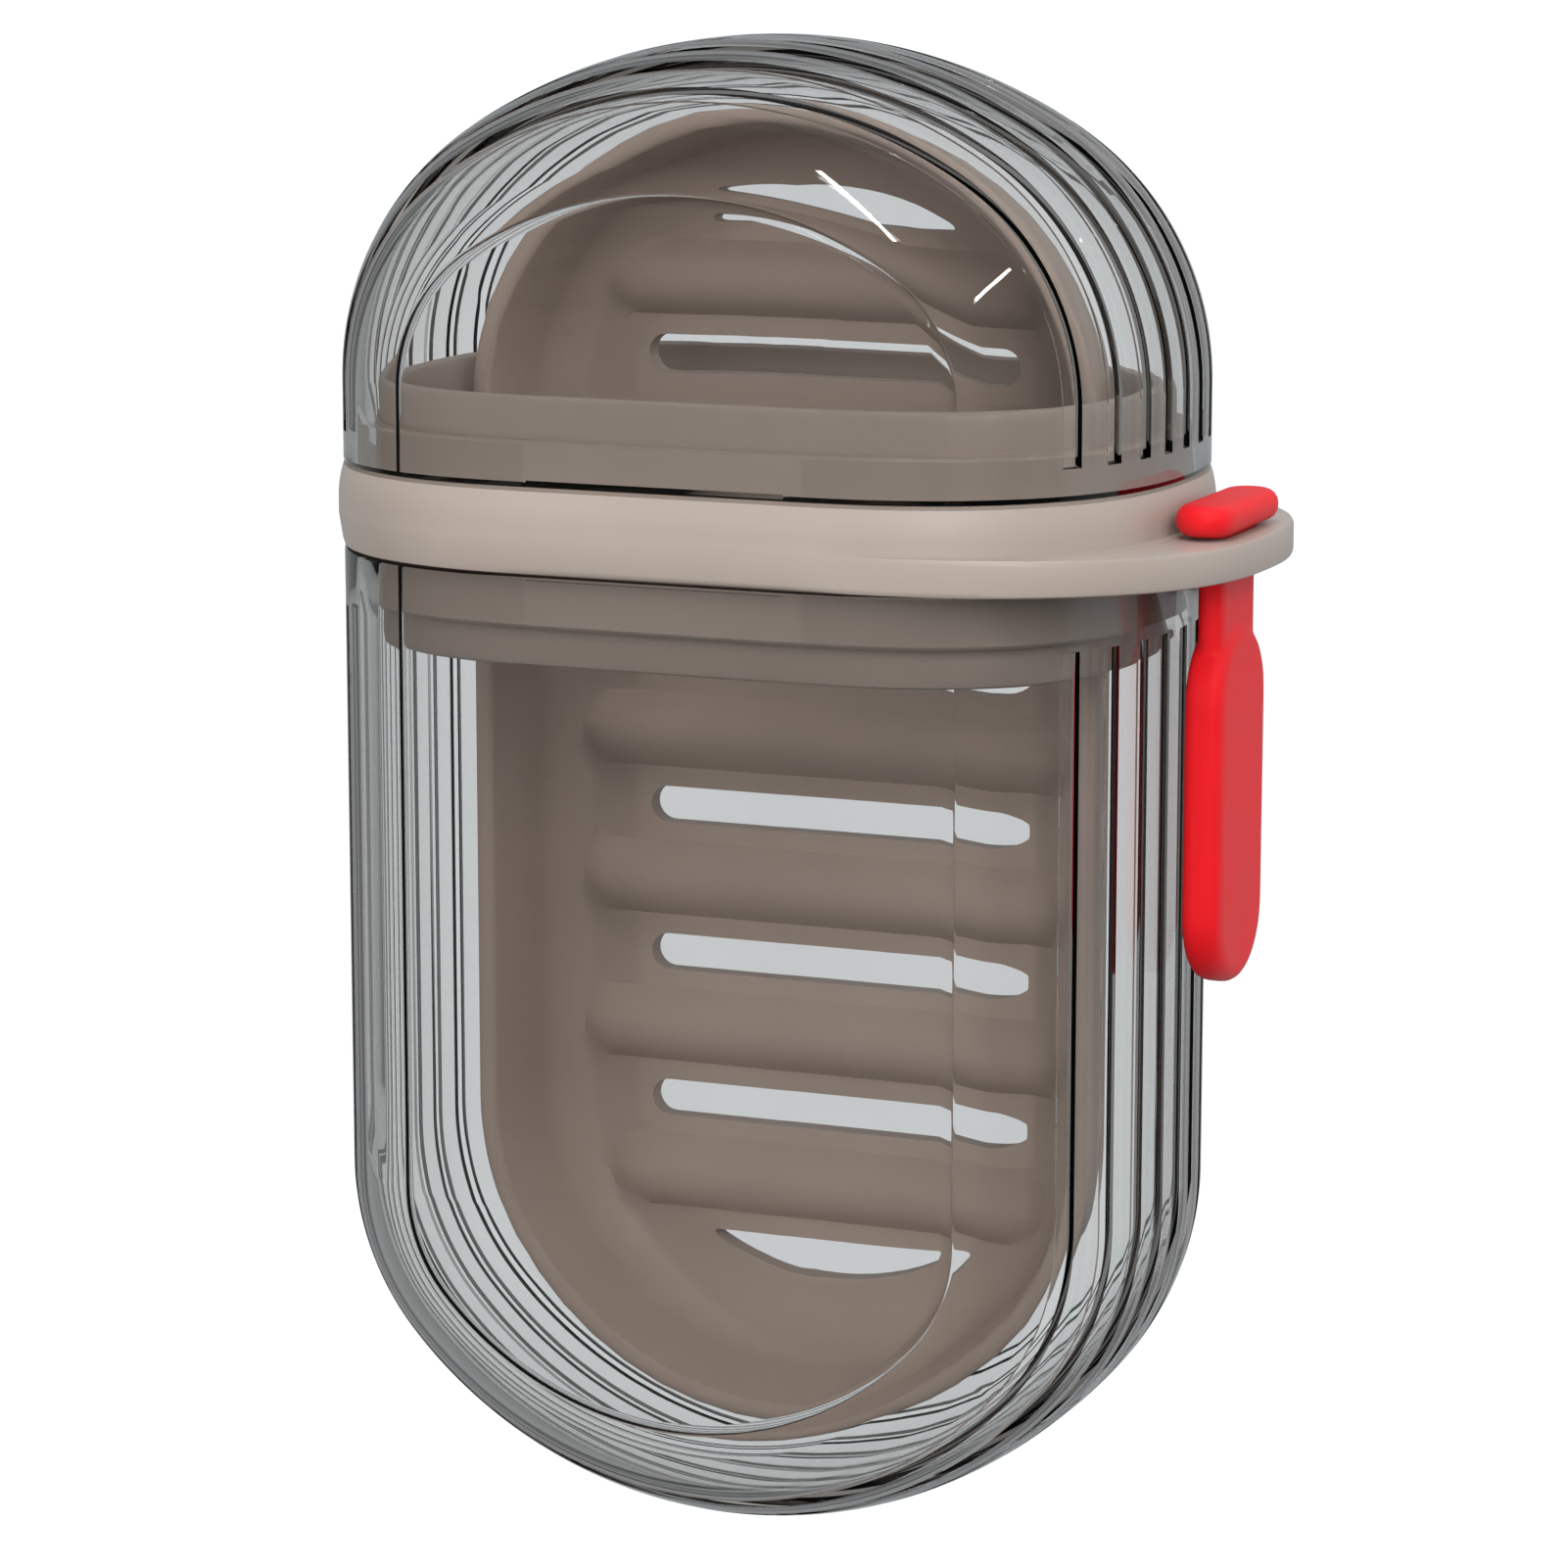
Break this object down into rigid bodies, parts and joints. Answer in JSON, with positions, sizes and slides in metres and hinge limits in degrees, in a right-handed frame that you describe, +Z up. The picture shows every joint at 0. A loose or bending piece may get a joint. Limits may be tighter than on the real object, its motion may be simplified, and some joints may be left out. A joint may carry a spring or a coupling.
{
  "type": "covered soap dish",
  "caption": "Clear travel soap case in two shells over a beige collar, with a slotted drain tray inside and a soft red strap on the collar's ear.",
  "frame": {"origin": "middle of the collar's back crest, halfway up the band", "axes": "+Y along the case towards the cover's end, +Z up through the front, +X towards the ear and the strap"},
  "size_m": [0.0892, 0.139, 0.057],
  "materials": {
    "beige_plastic": "satin",
    "tray_plastic": "satin",
    "clear_plastic": "gloss",
    "red_silicone": "matte"
  },
  "bodies": {
    "collar": {"collar": "beige_plastic", "drain_tray": "tray_plastic"},
    "cover": {"top_cover": "clear_plastic"},
    "lower": {"lower_shell": "clear_plastic"},
    "strap": {"strap": "red_silicone"}
  },
  "joints": [
    {"name": "cover_pull", "type": "slide", "parent": "collar", "child": "cover", "axis": [0, 1, 0], "range_m": [0, 0.04]},
    {"name": "lower_pull", "type": "slide", "parent": "collar", "child": "lower", "axis": [0, -1, 0], "range_m": [0, 0.09]},
    {"name": "strap_slide", "type": "slide", "parent": "collar", "child": "strap", "axis": [0, 1, 0], "range_m": [0, 0.0045]}
  ]
}
